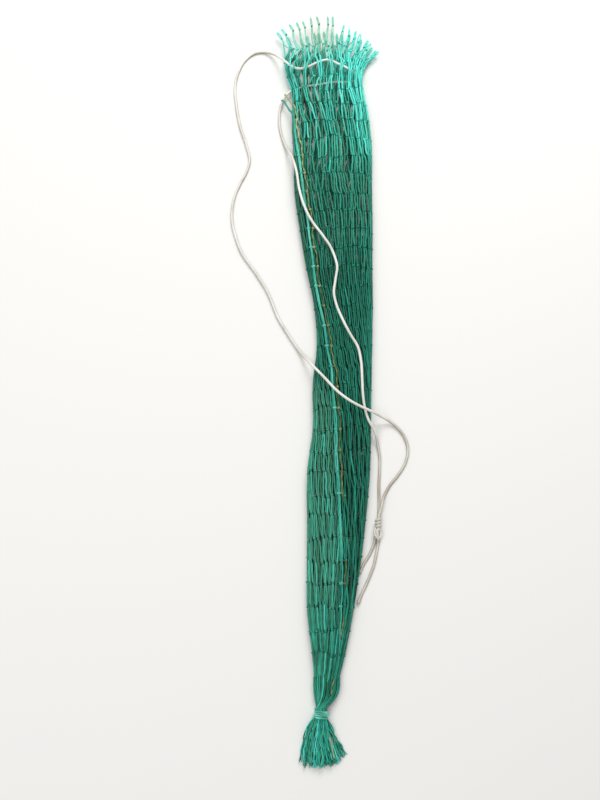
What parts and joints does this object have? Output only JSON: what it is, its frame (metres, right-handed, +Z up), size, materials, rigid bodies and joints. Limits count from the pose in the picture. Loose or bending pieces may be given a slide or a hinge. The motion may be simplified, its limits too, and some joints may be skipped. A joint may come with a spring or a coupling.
{
  "type": "scallop net bag",
  "caption": "Long knotted green net bag lying drawn out flat, its tail gathered and tied into a brush of cut ends, with an ivory drawstring threaded round the open mouth.",
  "frame": {"origin": "on the floor under the middle of the bag without its drawstring", "axes": "+Y along the bag towards its mouth, +Z up off the floor"},
  "size_m": [0.2059, 0.9094, 0.0222],
  "materials": {
    "net_twine": "twisted polyethylene twine, green, satin",
    "selvedge_twine": "doubled polyethylene twine, bright turquoise, satin",
    "lacing_twine": "ochre twisted twine, matt",
    "cord_ivory": "braided ivory cord, matt"
  },
  "bodies": {
    "root": {"net_bag": "net_twine", "seam_selvedge": "selvedge_twine", "seam_lacing": "lacing_twine", "tail_tie": "selvedge_twine", "tail_brush": "net_twine", "drawstring_outer": "cord_ivory", "drawstring_mouth": "cord_ivory", "drawstring_inner": "cord_ivory", "drawstring_knot": "cord_ivory", "drawstring_end_a": "cord_ivory", "drawstring_end_b": "cord_ivory"}
  },
  "joints": []
}
